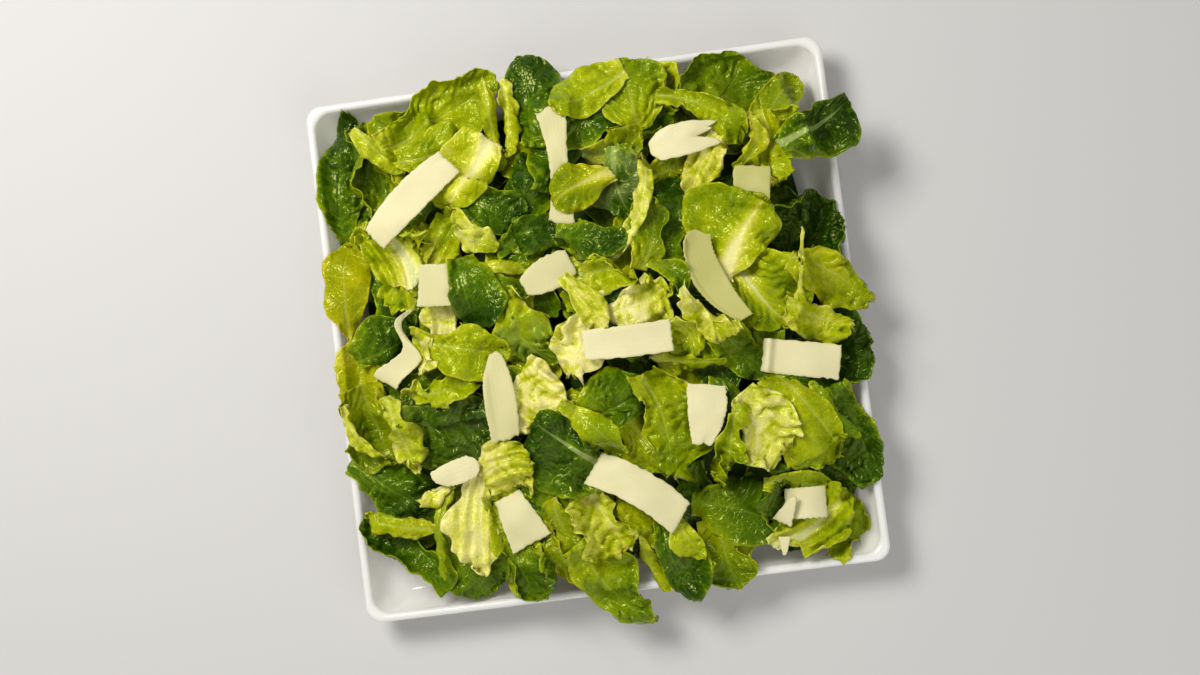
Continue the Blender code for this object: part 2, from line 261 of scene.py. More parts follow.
def makeFloor():
    material, tree, shader = newMaterial("floor_paper")
    shader.inputs["Base Color"].default_value = (0.62, 0.61, 0.59, 1.0)
    shader.inputs["Roughness"].default_value = 0.9
    mesh = bpy.data.meshes.new("floor")
    half = floorSize / 2
    mesh.from_pydata([(-half, -half, 0), (half, -half, 0), (half, half, 0), (-half, half, 0)], [], [(0, 1, 2, 3)])
    mesh.materials.append(material)
    floor = bpy.data.objects.new("floor", mesh)
    bpy.context.collection.objects.link(floor)


makeCamera()
makeLights()
makeFloor()
print("camera, lights and floor made")


plate = {
    "width": 300.0, "height": 25.0, "corner": 9.0, "cornerGrowth": 0.25,
    "lipWidth": 5.0, "lipDrop": 3.0, "wallWidth": 13.0, "wallCurve": 2.2, "floorHeight": 6.0,
    "footInset": 15.0, "footCurve": 1.5, "footChamfer": 0.6,
    "cornerSteps": 20, "sideSteps": 6, "lipSteps": 18, "wallSteps": 22, "skirtSteps": 16,
}


def plateSection():
    # Inset and height along the section: foot, flared skirt, half-ellipse lip, hollow wall, floor.
    shoulder = plate["height"] - plate["lipDrop"]
    rise = np.linspace(0, 1, plate["skirtSteps"])
    chamfer = plate["footChamfer"] * np.clip(1 - rise / 0.05, 0, 1)
    skirt = np.stack([plate["footInset"] * (1 - rise) ** plate["footCurve"] + chamfer, shoulder * rise], 1)
    turn = np.linspace(0, pi, plate["lipSteps"] + 1)[1:]
    lipInset = plate["lipWidth"] / 2 * (1 - np.cos(turn))
    lip = np.stack([lipInset, shoulder + plate["lipDrop"] * np.sin(turn)], 1)
    fall = np.linspace(0, 1, plate["wallSteps"] + 1)[1:]
    drop = plate["floorHeight"] + (shoulder - plate["floorHeight"]) * (1 - fall) ** plate["wallCurve"]
    wall = np.stack([plate["lipWidth"] + plate["wallWidth"] * fall, drop], 1)
    return np.concatenate([skirt, lip, wall])


def squareRing(inset, height):
    # A level square with round corners; the corner radius grows a little with the inset.
    half = plate["width"] / 2 - inset
    corner = plate["corner"] + plate["cornerGrowth"] * inset
    turn = np.linspace(0, pi / 2, plate["cornerSteps"] + 1)
    arcX = half - corner + corner * np.cos(turn)
    arcY = half - corner + corner * np.sin(turn)
    share = np.linspace(0, 1, plate["sideSteps"] + 1)[1:-1]
    sideX = np.full(len(share), 0.0) + arcX[-1] * (1 - share) + -arcX[-1] * share
    sideY = np.full(len(share), half)
    quarterX, quarterY = np.concatenate([arcX, sideX]), np.concatenate([arcY, sideY])
    ring = []
    for quarter in range(4):
        c, s = round(cos(quarter * pi / 2)), round(sin(quarter * pi / 2))
        ring.append(np.stack([quarterX * c - quarterY * s, quarterX * s + quarterY * c], 1))
    ring = np.concatenate(ring)
    return np.column_stack([ring, np.full(len(ring), height)])


def ringBand(lower, upper):
    # Quads between two rings of the same count, facing outwards for counter-clockwise rings.
    return np.stack([lower, np.roll(lower, -1), np.roll(upper, -1), upper], axis=1)


def capRings(outline, height, shares):
    # Rings that shrink an outline towards the middle, down to a point.
    rings = [np.column_stack([outline[:, :2] * share, np.full(len(outline), height)]) for share in shares]
    return rings


def weldPoles(piece):
    # The innermost rings have no size: each becomes one point.
    shape = bmesh.new()
    shape.from_mesh(piece.data)
    bmesh.ops.remove_doubles(shape, verts=shape.verts, dist=1e-6)
    shape.to_mesh(piece.data)
    shape.free()


def makePlate():
    section = plateSection()
    rings = [squareRing(inset, height) for inset, height in section]
    shares = [0.75, 0.5, 0.25, 0.0]
    under = capRings(rings[0], 0.0, shares)[::-1]
    over = capRings(rings[-1], plate["floorHeight"], shares)
    rings = under + rings + over
    count = len(rings[0])
    index = np.arange(len(rings) * count).reshape(len(rings), count)
    faces = np.concatenate([ringBand(index[k], index[k + 1]) for k in range(len(rings) - 1)])
    points = np.concatenate(rings)
    material, tree, shader = newMaterial("porcelain_glaze")
    place = addNode(tree, "ShaderNodeTexCoord").outputs["Object"]
    cloud = noise(tree, place, 9.0, 3.0)
    speck = noise(tree, place, 420.0, 2.0)
    tint = mixColour(tree, (cloud - 0.35) * 1.6, (0.88, 0.85, 0.78), (0.93, 0.91, 0.85))
    plug(tree, shader.inputs["Base Color"], tint)
    plug(tree, shader.inputs["Roughness"], 0.09 + 0.09 * cloud)
    shader.inputs["IOR"].default_value = 1.5
    shader.inputs["Subsurface Weight"].default_value = 0.6
    shader.inputs["Subsurface Radius"].default_value = (1.0, 0.95, 0.85)
    shader.inputs["Subsurface Scale"].default_value = 0.012
    shader.inputs["Coat Weight"].default_value = 0.35
    shader.inputs["Coat Roughness"].default_value = 0.06
    wave = noise(tree, place, 26.0, 1.0)
    bump = addNode(tree, "ShaderNodeBump", None, {"Strength": 0.12, "Distance": 0.0006,
                                                 "Height": wave + 0.06 * speck})
    plug(tree, shader.inputs["Normal"], bump.outputs[0])
    piece = meshPiece("plate_porcelain", points, faces, material)
    weldPoles(piece)
    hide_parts("plate")


makePlate()
print("plate made")


cheese = {
    "thickness": 1.3, "edgeRag": 0.35, "ridge": 0.03, "waver": 0.3,
    "steps": 52, "lanes": 24, "seed": 11,
    # by shaving, the share of painted shade: a darker olive green standing in for the leaves' shade and the green
    # light through the cheese
    "thin": {2: 0.35, 4: 1.0, 5: 1.2, 6: 0.25, 7: 0.35, 8: 0.1, 9: 0.45, 15: 0.1},
}
# Torn ends, by shaving: which end, place across from -0.5 to 0.5, half width, depth.
bites = {
    2: ((0, 0.5, 0.3, 4.0), (1, 0.4, 0.3, 6.0)),
    3: ((1, 0.02, 0.16, 13.0), (1, 0.33, 0.06, 5.0), (0, 0.5, 0.2, 5.0), (0, -0.5, 0.2, 5.0)),
    5: ((0, 0.5, 0.3, 8.0), (0, -0.5, 0.2, 3.0)),
    9: ((1, 0.5, 0.28, 11.0), (1, -0.5, 0.15, 2.5), (0, -0.4, 0.2, 2.0)),
    12: ((1, 0.1, 0.12, 1.5),),
    14: ((1, 0.5, 0.2, 4.5), (1, -0.5, 0.2, 4.5), (0, -0.5, 0.3, 6.0)),
    16: ((0, -0.5, 0.2, 3.0),),
}
# Side to side curls, by shaving: reach, wavelength, place of the first turn, share of the neck.
sways = {8: (5.5, 31.0, -3.0, 0.53)}
# Loose curls of a shaving, rows like the shavings' own, with their height above it last.
curls = {
    16: ((95.5, -114.5, 239, 18, 3, 12, 8, 0, 8, -20, 0, 3.2), (91, -134, 264, 11, 7, 1.5, 5, 0, 5, -8, 0, 2.0)),
}
# Raised lines, by shaving: across (1) or along (0), place as a share, half width, height.
ridges = {
    5: ((0, 0.04, 0.07, 1.3),),
    9: ((0, 0.95, 0.16, 1.2),),
    11: ((1, 0.07, 0.06, 3.6),),
    13: ((1, 0.22, 0.12, 0.8),),
}
shavings = (
    # centre x and y, heading, length, widths at start, end and middle, bow, arch, tilt, twist
    (-91, 85, 38, 62, 15, 17, 20, 1.5, 10, 2, 0),
    (-6, 93, 88, 70, 15, 19, 11, -1.5, 8, 3, 6),
    (65, 97, 6, 40, 16, 13, 19, 1, 9, 2, 8),
    (99, 67, -10, 21, 19, 20, 20, 0, 6, 0, 0),
    (72, 19, -66, 58, 16, 9, 18, -6, -12, -4, 24),
    (-20, 33, 22, 31, 10, 15, 20, 0, 10, -3, 6),
    (-83, 35, 84, 24, 21, 17, 18, 0, 5, 3, 0),
    (-107, 3, 66, 46, 18, 3, 12, -5, 14, 8, 50),
    (-55, -31, 92, 51, 16, 12, 18, -1.0, 13, 0, 0),
    (20, -10, -1, 50, 17, 18, 18, -1, 9, 2, 0),
    (114, -32, -13, 44, 19, 20, 20, 0, 10, 1, 0),
    (57, -56, 258, 34, 22, 11, 21, 1.5, 8, -2, 0),
    (14.5, -93, -37, 58, 21, 21, 21, 4, 18, 0, 0),
    (-85, -70, 14, 28, 11, 14, 14, 0, 7, 2, 0),
    (-54, -101, -69, 31, 16, 25, 21, 0, 9, 0, 0),
    (106, -112, -4, 25, 17, 18, 18, 0, 38, 0, 0),
)


def smoothWaves(rng, u, v, wavelength, count=6):
    # Sum of plane waves in random directions, about unit height.
    total = np.zeros(np.broadcast(u, v).shape)
    for _ in range(count):
        angle, phase, stretch = rng.uniform(0, 2 * pi), rng.uniform(0, 2 * pi), rng.uniform(0.7, 1.4)
        k = 2 * pi / (wavelength * stretch)
        total += np.sin(k * (u * cos(angle) + v * sin(angle)) + phase)
    return total / np.sqrt(count / 2)


def shavingSurface(shaving, steps, lanes, rng=None, number=0):
    # Middle surface of a strip: slope along it runs from tilt + arch to tilt - arch; its width is a
    # parabola through the three widths, and each cross line is rolled by the twist.
    x, y, heading, length, start, end, middle, bow, arch, tilt, twist = shaving
    u = np.linspace(0, 1, steps + 1)
    slope = np.radians(tilt + 2 * arch * (0.5 - u))
    half = (slope[1:] + slope[:-1]) / 2
    run = np.concatenate([[0], np.cumsum(np.cos(half)) * length / steps])
    rise = np.concatenate([[0], np.cumsum(np.sin(half)) * length / steps])
    run -= run.mean()
    rise -= rise.mean()
    width = start * (1 - u) + end * u + (middle - (start + end) / 2) * 4 * u * (1 - u)
    side = bow * (4 * u * (1 - u) - 0.5)
    if number in sways:
        reach, wave, turning, neck = sways[number]
        swing = 0.45 - np.cos(2 * pi * (run - turning) / wave)
        side = side + reach * swing * (0.75 + 0.25 * np.tanh((u - 0.4) / 0.08))
        width = width * (0.8 - 0.25 * np.tanh((u - neck) / 0.06))
    roll = np.radians(twist) * (u - 0.5)
    v = np.linspace(-0.5, 0.5, lanes + 1)
    offset = v * width[:, None]
    if rng is not None:
        # ragged ends and sides pull the border inwards by a fraction of a millimetre
        rag = cheese["edgeRag"]
        nearSide = np.abs(2 * v) ** 8
        offset = offset - np.sign(v) * nearSide * rag * np.abs(smoothWaves(rng, u[:, None] * length, v * 9, 6.0))
        nearEnd = np.abs(2 * u - 1)[:, None] ** 10
        shift = np.sign(0.5 - u)[:, None] * nearEnd * rag * 1.2 * np.abs(smoothWaves(rng, u[:, None], v * 14, 5.0))
        for end, place, reach, depth in bites.get(number, ()):
            share = u[:, None] ** 3 if end else (1 - u[:, None]) ** 3
            shift = shift + (1 - 2 * end) * share * depth * np.exp(-((v - place) / reach) ** 2)
    else:
        shift = 0.0
    along = run[:, None] - np.sin(slope)[:, None] * np.sin(roll)[:, None] * offset + shift
    across = side[:, None] + np.cos(roll)[:, None] * offset
    height = rise[:, None] + np.sin(roll)[:, None] * offset * np.cos(slope)[:, None]
    turn = radians(heading)
    return np.stack([
        x + along * cos(turn) - across * sin(turn),
        y + along * sin(turn) + across * cos(turn),
        height + np.zeros_like(along),
    ], axis=-1)


def surfaceNormals(points):
    along = np.gradient(points, axis=0)
    across = np.gradient(points, axis=1)
    normal = np.cross(along, across)
    return normal / np.maximum(np.linalg.norm(normal, axis=-1, keepdims=True), 1e-9)


def shavingLift(number, shaving):
    # Height that puts the strip's lowest point where the frame has it.
    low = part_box(f"parmesan_shaving_{number:02d}")[0]
    surface = shavingSurface(shaving, 24, 8)
    return low[2] / mm + cheese["thickness"] / 2 + 0.15 - surface[..., 2].min()


def cheeseMaterial():
    material, tree, shader = newMaterial("parmesan_cut_face")
    place = addNode(tree, "ShaderNodeTexCoord").outputs["Object"]
    cloud = noise(tree, place, 70.0, 3.0)
    grain = noise(tree, place, 900.0, 3.0, 0.7)
    crystals = addNode(tree, "ShaderNodeTexVoronoi", {"feature": "F1"}, {"Vector": place, "Scale": 330.0})
    crystal = (1 - Wire(tree, crystals.outputs["Distance"]) * 3.4).clamp() ** 2.0
    tint = mixColour(tree, (cloud - 0.3) * 1.8, (0.74, 0.68, 0.375), (0.80, 0.745, 0.445))
    tint = mixColour(tree, crystal * 0.25, tint, (0.88, 0.84, 0.62))
    # painted shade: a darker olive green, spread by the cloud, on shavings that lie in the leaves' shade
    thin = addNode(tree, "ShaderNodeAttribute", {"attribute_name": "sheer"}).outputs["Fac"]
    tint = mixColour(tree, Wire(tree, thin) * (0.55 + 0.9 * cloud), tint, (0.52, 0.50, 0.15))
    plug(tree, shader.inputs["Base Color"], tint)
    plug(tree, shader.inputs["Roughness"], 0.5 + 0.2 * grain)
    shader.inputs["Subsurface Weight"].default_value = 0.35
    shader.inputs["Subsurface Radius"].default_value = (1.0, 0.8, 0.45)
    shader.inputs["Subsurface Scale"].default_value = 0.0015
    bump = addNode(tree, "ShaderNodeBump", None, {"Strength": 0.35, "Distance": 0.0004,
                                                 "Height": grain + 0.6 * crystal + 0.5 * cloud})
    plug(tree, shader.inputs["Normal"], bump.outputs[0])
    return material


def shavingSheets(number, steps, lanes, rng=None):
    # A shaving's middle surface where it lies, then its loose curls.
    shaving = shavings[number - 1]
    lift = shavingLift(number, shaving)
    sheets = [(shaving, shavingSurface(shaving, steps, lanes, rng, number) + [0, 0, lift])]
    for curl in curls.get(number, ()):
        sheets.append((curl[:-1], shavingSurface(curl[:-1], steps, lanes, rng) + [0, 0, lift + curl[-1]]))
    return sheets


def makeShaving(number, material, rng):
    upper, lower, strip = shellFaces(cheese["steps"] + 1, cheese["lanes"] + 1)
    shell = np.concatenate([upper, lower, strip])
    points, faces = [], []
    for shaving, surface in shavingSheets(number, cheese["steps"], cheese["lanes"], rng):
        length, width = shaving[3], max(shaving[4:7])
        u = np.linspace(0, length, cheese["steps"] + 1)[:, None]
        v = np.linspace(-0.5, 0.5, cheese["lanes"] + 1)[None, :] * width
        surface[..., 2] += cheese["waver"] * smoothWaves(rng, u, v, 26.0)
        surface[..., 2] += cheese["ridge"] * np.sin(v * 2 * pi / 2.7 + 0.6 * np.sin(u / 9))
        for across, place, reach, height in ridges.get(number, ()):
            share = u / length if across else v / width + 0.5
            surface[..., 2] += height * np.exp(-((share - place) / reach) ** 2)
        normal = surfaceNormals(surface)
        thickness = cheese["thickness"] * (1 + 0.18 * smoothWaves(rng, u, v, 17.0))
        rim = 1 - 0.55 * np.maximum(np.abs(2 * v / width) ** 12, np.abs(2 * u / length - 1) ** 24)
        half = (np.clip(thickness, 0.5, 2.2) * rim / 2)[..., None]
        faces.append(shell + sum(len(part) for part in points))
        surface[..., 2] -= max(0.0, (surface + normal * half)[..., 2].max() - cadBox[1][2] / mm)
        points += [(surface + normal * half).reshape(-1, 3), (surface - normal * half).reshape(-1, 3)]
    points = np.concatenate(points)
    sheer = np.tile([cheese["thin"].get(number, 0.0)] * 3 + [1.0], (len(points), 1))
    piece = meshPiece(f"cheese_shaving_{number:02d}", points, np.concatenate(faces), material, data={"sheer": sheer})
    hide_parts(f"parmesan_shaving_{number:02d}")


def makeShavings():
    rng = np.random.default_rng(cheese["seed"])
    material = cheeseMaterial()
    for number in range(1, len(shavings) + 1):
        makeShaving(number, material, rng)


makeShavings()
print("shavings made")


leafStyle = {
    "spacing": 1.04,  # millimetres between grid points
    "thickness": 0.42,
    "gap": 0.45,
    "rest": 70,  # share of a leaf, in percent, that lies free above what is below it
    "veinLean": 0.75,  # how far a side vein runs towards the tip for each millimetre sideways
    "tilt": 9,
    "reach": 0.14,  # share of its length by which a leaf runs on under its neighbours
    "lopsided": 0.15,
    "offset": 0.28,  # how far the rib stands off the middle of a torn leaf
    "bow": 0.10,
    "seed": 5,
}
tones = {
    # darkness from heart to outer leaf, and warmth from green to yellow
    "D": (0.97, 0.10), "M": (0.76, 0.22), "Y": (0.43, 0.24), "O": (0.54, 0.62), "P": (0.10, 0.25),
}
forms = {
    # bend along the leaf, cup across it, curl of the margins, fold at the rib, ruffle height and
    # wave, blisters
    "dome": {"bend": -48, "cup": -52, "curl": 30, "fold": 10, "ruffle": 1.7, "wave": 24, "blister": 1.2},
    "cupped": {"bend": 36, "cup": 74, "curl": 20, "fold": 16, "ruffle": 1.7, "wave": 24, "blister": 1.2},
    "flat": {"bend": -22, "cup": -20, "curl": 40, "fold": 14, "ruffle": 2.0, "wave": 22, "blister": 1.2},
    "folded": {"bend": -18, "cup": 16, "curl": 0, "fold": 56, "ruffle": 2.8, "wave": 16, "blister": 0.9},
    "ruffled": {"bend": -20, "cup": -20, "curl": 30, "fold": 12, "ruffle": 4.6, "wave": 15, "blister": 1.1},
    "rolled": {"bend": -10, "cup": -100, "curl": 0, "fold": 0, "ruffle": 0.7, "wave": 14, "blister": 0.6,
               "warp": 0.4, "heel": 0.25},
    "pleated": {"bend": -20, "cup": -22, "curl": 10, "fold": 10, "ruffle": 2.0, "wave": 14, "blister": 0.8,
                "pleat": 2.0, "veins": 11.0},
    "crumpled": {"bend": -18, "cup": -22, "curl": 10, "fold": 4, "ruffle": 3.4, "wave": 16, "blister": 1.5, "veins": 11.0},
}
# rim: width in millimetres of the painted light along a leaf's margin, a lighter band standing in for lit, glowing
# edges
plain = {"pitch": 0, "roll": 0, "twist": 0, "base": 0.45, "widest": 0.6, "tear": 1.0, "pleat": 0.0,
         "under": 0.0, "lift": 0.0, "rib": 0.15, "frost": 0.0, "veins": 8.0, "warp": 1.8, "creases": None,
         "rim": 1.5, "heel": 0.0, "offset": None, "bow": 0.0, "seed": 0}

# The salad from the bottom up. A leaf: middle x and y, heading of its tip, length, width, tone,
# form and what differs from the form. A shaving: its number.
salad = (
    (-26, 87, 80, 38, 28, "D", "dome", {}),
    (-48, 77, 325, 40, 28, "D", "flat", {}),
    (-8, 108, 80, 44, 30, "D", "flat", {"creases": ()}),
    (-17, 58, 5, 50, 24, "D", "dome", {}),
    (20, 116, 20, 38, 24, "D", "dome", {"creases": ((90, 7, -60, 3),)}),
    (47, 115, 10, 36, 24, "M", "ruffled", {}),
    (47, -103, 270, 36, 30, "D", "dome", {}),
    (22, -70, 300, 40, 30, "O", "dome", {}),
    (55, -14, 20, 36, 34, "Y", "crumpled", {"deep": 0.52, "blister": 2.0}),
    (80, 60, 10, 40, 34, "D", "flat", {}),
    (34, 12, 20, 36, 28, "P", "crumpled", {}),
    (-46, -31, 300, 34, 22, "D", "flat", {}),
    (-70, -84, 300, 18, 14, "O", "flat", {}),
    (-122, 67, 85, 52, 24, "M", "flat", {}),
    (-138, -2, 250, 48, 28, "O", "dome", {"blister": 0.4, "tear": 0.4, "deep": 0.46, "creases": ()}),
    (-114, 30, 310, 42, 24, "D", "flat", {}),
    (-124, -72, 320, 48, 42, "D", "dome", {"creases": (), "tear": 0.6, "blister": 1.8}),
    (127, -28, 0, 60, 54, "D", "cupped", {"cup": 40, "creases": (), "tear": 0.4, "rim": 2.0}),
    (114, 50, 80, 38, 30, "M", "flat", {"creases": ()}),
    (95, -12, 0, 38, 24, "M", "flat", {"deep": 0.62}),
    (126, 37, 50, 54, 46, "D", "cupped", {"creases": (), "tear": 0.35, "rim": 3.0}),
    (61, 135, 310, 30, 24, "Y", "folded", {"deep": 0.5, "tear": 0.5, "creases": ()}),
    (127, -99, 285, 32, 26, "D", "flat", {"creases": (), "tear": 0.5}),
    (137, -82, 285, 54, 32, "D", "dome", {"blister": 3.0, "creases": (), "tear": 0.5, "rim": 2.5}),
    (128, -66, 300, 36, 12, "M", "rolled", {}),
    (-86, 18, 90, 26, 24, "P", "pleated", {}),
    (8, -39, 20, 36, 34, "D", "dome", {"deep": 0.7, "tear": 0.5, "blister": 2.0, "creases": ()}),
    (-30, -127, 290, 40, 22, "O", "flat", {}),
    (-30, -111, 290, 30, 26, "O", "flat", {}),
    (16, -110, 320, 36, 26, "O", "flat", {"blister": 1.5}),
    (17, -138, 290, 32, 12, "Y", "rolled", {}),
    (-84, -116, 280, 56, 48, "M", "dome", {"creases": (), "tear": 0.5}),
    (-47, 25, 300, 34, 24, "M", "flat", {"deep": 0.8}),
    (-135, 112, 82, 70, 28, "D", "dome", {"base": 0.3, "widest": 0.55, "tear": 0.3, "creases": (), "blister": 1.3, "bow": 5.0}),
    (-115, 113, 96, 54, 40, "M", "cupped", {"creases": ((-90, 10, 130, 2.5),), "tear": 0.5, "deep": 0.76, "rim": 2.5}),
    (-97, 125, 80, 44, 34, "O", "cupped", {"cup": 44, "creases": ()}),
    (-110, 116, 312, 38, 11, "Y", "ruffled", {"deep": 0.32, "ruffle": 2.4, "tear": 0.7, "creases": (), "lift": 0.8, "base": 0.7}),
    (-17, 139, 90, 50, 36, "D", "dome", {"tear": 0.35, "creases": (), "base": 0.3, "widest": 0.62}),
    (41, 133, 95, 38, 40, "Y", "dome", {"deep": 0.52, "tear": 0.4, "creases": ()}),
    (107, 118, 52, 43, 85, "M", "cupped", {"cup": 30, "fold": 22, "creases": (), "tear": 0.2, "ruffle": 1.0, "deep": 0.7, "base": 0.8, "widest": 0.32}),
    (122, 116, 50, 40, 24, "M", "flat", {"deep": 0.56, "warm": 0.4, "creases": (), "tear": 0.15, "ruffle": 0.6, "base": 0.85, "widest": 0.45, "pitch": -12}),
    (118, 103, 0, 34, 14, "Y", "ruffled", {}),
    (114, 86, 280, 38, 24, "Y", "pleated", {"deep": 0.42, "pleat": 2.6}),
    (101, 90, 255, 30, 12, "O", "ruffled", {"deep": 0.5, "creases": ()}),
    (145, 93, 28, 44, 33, "D", "flat", {"rib": 0.7, "line": 0.95, "tear": 0.6, "rim": 2.0, "creases": (), "offset": -0.25, "blister": 1.8, "pitch": -20}),
    (60, 87, 20, 34, 20, "O", "flat", {"tear": 0.4}),
    (28, 101, 10, 34, 18, "O", "flat", {"frost": 0.5, "deep": 0.52, "blister": 1.5, "tear": 1.0, "creases": ()}),
    (27, 78, 275, 40, 36, "D", "dome", {"rib": 0.6, "frost": 0.25, "deep": 0.92, "creases": (), "blister": 1.5}),
    (51, 60, 80, 46, 32, "D", "flat", {"creases": ()}),
    (38, 53, 75, 36, 24, "O", "flat", {"deep": 0.62, "creases": ()}),
    (32, 66, 62, 58, 11, "P", "pleated", {"deep": 0.26, "ruffle": 3.0, "bow": -4.0, "tear": 0.6, "creases": ()}),
    (-128, -40, 285, 44, 46, "O", "cupped", {"creases": (), "tear": 0.6, "deep": 0.7, "cup": 64, "rim": 6.0, "ruffle": 2.4}),
    (-85, -48, 15, 56, 50, "D", "dome", {"blister": 1.6, "frost": 0.1, "creases": ((80, 6, 24, 6),), "pitch": 15}),
    (-138, -45, 302, 36, 7, "Y", "ruffled", {"deep": 0.36, "bow": -5.0, "tear": 1.0, "creases": (), "base": 0.7, "ruffle": 3.0, "wave": 10, "lift": 0.5}),
    (-139, 45, 84, 51, 29, "O", "dome", {"blister": 0.15, "tear": 0.3, "base": 0.1, "widest": 0.62, "creases": (), "deep": 0.5, "warm": 1.05}),
    (-121, 11, 20, 34, 31, "D", "dome", {"tear": 0.5, "creases": ()}),
    (40, -63, 280, 54, 40, "O", "ruffled", {"deep": 0.58, "tear": 1.3, "warm": 0.35, "blister": 1.5}),
    (59, -138, 280, 38, 30, "O", "cupped", {"deep": 0.66, "tear": 0.5, "cup": 40, "rim": 2.5, "creases": ()}),
    (72, -112, 340, 48, 38, "M", "dome", {"blister": 0.5, "tear": 0.6}),
    (35, -137, 283, 46, 28, "D", "dome", {"tear": 0.3, "creases": (), "lift": 0.8}),
    (35, -124, 300, 32, 17, "Y", "dome", {"creases": (), "deep": 0.45, "tear": 0.5}),
    (-3, -147, 303, 56, 34, "M", "flat", {"deep": 0.56, "widest": 0.35, "base": 0.8, "tear": 0.8, "creases": (), "ruffle": 2.6}),
    (-52, -128, 285, 42, 33, "M", "cupped", {"deep": 0.78, "creases": (), "tear": 0.6, "rim": 2.5, "fold": 28}),
    (-124, -108, 137, 57, 29, "D", "cupped", {"deep": 0.88, "creases": (), "tear": 0.3, "rim": 2.5}),
    (-126, -97, 165, 42, 14, "Y", "rolled", {"cup": -60}),
    (-38, 0, 300, 42, 33, "M", "dome", {"frost": 0.12, "deep": 0.58, "blister": 1.9, "creases": (), "lift": 0.6}),
    (84, -26, 310, 40, 26, "M", "flat", {"creases": ()}),
    (55, -11, 300, 22, 20, "Y", "crumpled", {"deep": 0.42, "blister": 1.8, "lift": 1.0}),
    (54, -25, 350, 38, 9, "M", "rolled", {"deep": 0.5}),
    2,
    (-66, 134, 26, 68, 46, "Y", "cupped", {"cup": 40, "creases": (), "tear": 0.25, "ruffle": 0.9, "deep": 0.4}),
    (-43, 122, 273, 48, 12, "Y", "rolled", {"deep": 0.45, "tear": 0.4, "creases": ()}),
    (-32, 126, 268, 42, 12, "Y", "rolled", {"deep": 0.38, "tear": 0.5, "creases": ()}),
    (-78, 115, 15, 34, 28, "Y", "dome", {"tear": 0.5}),
    (-65, 98, 232, 42, 40, "Y", "dome", {"rib": 1.1, "line": 0.4, "base": 0.6, "blister": 0.5, "tear": 0.35, "deep": 0.36, "creases": ()}),
    (13, 134, 203, 42, 28, "Y", "dome", {"tear": 0.5, "creases": (), "rib": 0.2}),
    (2, 82, 200, 34, 28, "O", "dome", {"rib": 0.8, "line": 0.35, "tear": 0.6, "creases": (), "deep": 0.58}),
    4,
    (75, 86, 238, 48, 20, "P", "pleated", {"deep": 0.2, "creases": ()}),
    (81, 113, 326, 50, 21, "Y", "ruffled", {"deep": 0.5, "creases": ()}),
    (102, 12, 300, 52, 42, "Y", "dome", {"rib": 0.8, "tear": 0.5}),
    (140, 8, 325, 46, 30, "O", "dome", {"deep": 0.44, "pitch": -12}),
    (82, 47, 57, 51, 56, "Y", "dome", {"rib": 1.4, "line": 0.1, "blister": 0.8, "tear": 0.45, "creases": (), "base": 0.12, "offset": 0.42, "widest": 0.72}),
    5,
    (119, 13, 259, 44, 6, "Y", "rolled", {"creases": (), "tear": 0.15, "widest": 0.4, "base": 0.3, "deep": 0.36}),
    (129, -14, 335, 38, 22, "Y", "crumpled", {"deep": 0.34}),
    (52, 22, 305, 28, 12, "M", "flat", {"lift": -6.0}),
    (66, -3, 315, 38, 17, "P", "crumpled", {"deep": 0.26, "pitch": 8}),
    (110, -70, 300, 54, 40, "Y", "dome", {"blister": 0.6, "tear": 0.6}),
    (88, -70, 300, 40, 38, "P", "crumpled", {"deep": 0.12}),
    12,
    (69, -77, 255, 44, 19, "Y", "ruffled", {"deep": 0.5}),
    (108, -102, 350, 38, 15, "Y", "dome", {"tear": 0.4, "creases": ()}),
    (128, -128, 60, 34, 26, "Y", "ruffled", {"deep": 0.5}),
    (113, -124, 30, 50, 34, "Y", "pleated", {"rib": 1.0, "deep": 0.4, "pitch": -6}),
    (-12, -111, 298, 46, 32, "Y", "ruffled", {"rib": 0.4, "line": 0.2, "deep": 0.2, "creases": (), "blister": 1.5}),
    (-35, -37, 325, 30, 42, "P", "pleated", {"deep": 0.08, "creases": (), "base": 0.85, "widest": 0.4, "tear": 0.7}),
    (-27, -70, 139, 50, 44, "D", "dome", {"rib": 0.8, "line": 0.7, "tear": 0.4, "creases": (), "offset": 0.35}),
    (-4, -58, 315, 42, 18, "M", "dome", {"blister": 0.5, "deep": 0.5}),
    (8, 49, 345, 36, 22, "D", "flat", {"creases": (), "tear": 0.6}),
    (14, 30, 0, 30, 22, "Y", "flat", {"deep": 0.46, "blister": 0.9}),
    (-45, 41, 355, 38, 12, "Y", "rolled", {"deep": 0.3}),
    6,
    (-8, -6, 250, 46, 34, "P", "crumpled", {"creases": (), "deep": 0.05}),
    (0, 14, 302, 35, 18, "P", "pleated", {"deep": 0.14, "creases": (), "seed": 2, "tear": 0.7}),
    (-108, 42, 250, 36, 26, "Y", "pleated", {"deep": 0.34}),
    (-82, 65, 60, 38, 26, "Y", "pleated", {"deep": 0.32}),
    (-106, 64, 120, 44, 40, "Y", "pleated", {"rib": 1.1, "deep": 0.42}),
    (-66, 71, 120, 16, 9, "P", "crumpled", {"deep": 0.25}),
    (-58, 59, 330, 24, 16, "P", "crumpled", {"deep": 0.25}),
    7,
    (-62, 28, 280, 38, 32, "D", "dome", {"tear": 0.3, "creases": (), "blister": 0.4, "deep": 0.88}),
    (-88, -20, 5, 42, 20, "Y", "ruffled", {}),
    (-74, -3, 345, 52, 32, "Y", "dome", {"tear": 0.6}),
    (-96, -4, 250, 20, 14, "P", "crumpled", {"deep": 0.2}),
    (-113, -48, 285, 40, 17, "Y", "ruffled", {"deep": 0.35, "creases": ()}),
    (-101, -106, 258, 48, 10, "Y", "rolled", {"deep": 0.5}),
    (-103, -84, 200, 16, 12, "P", "flat", {}),
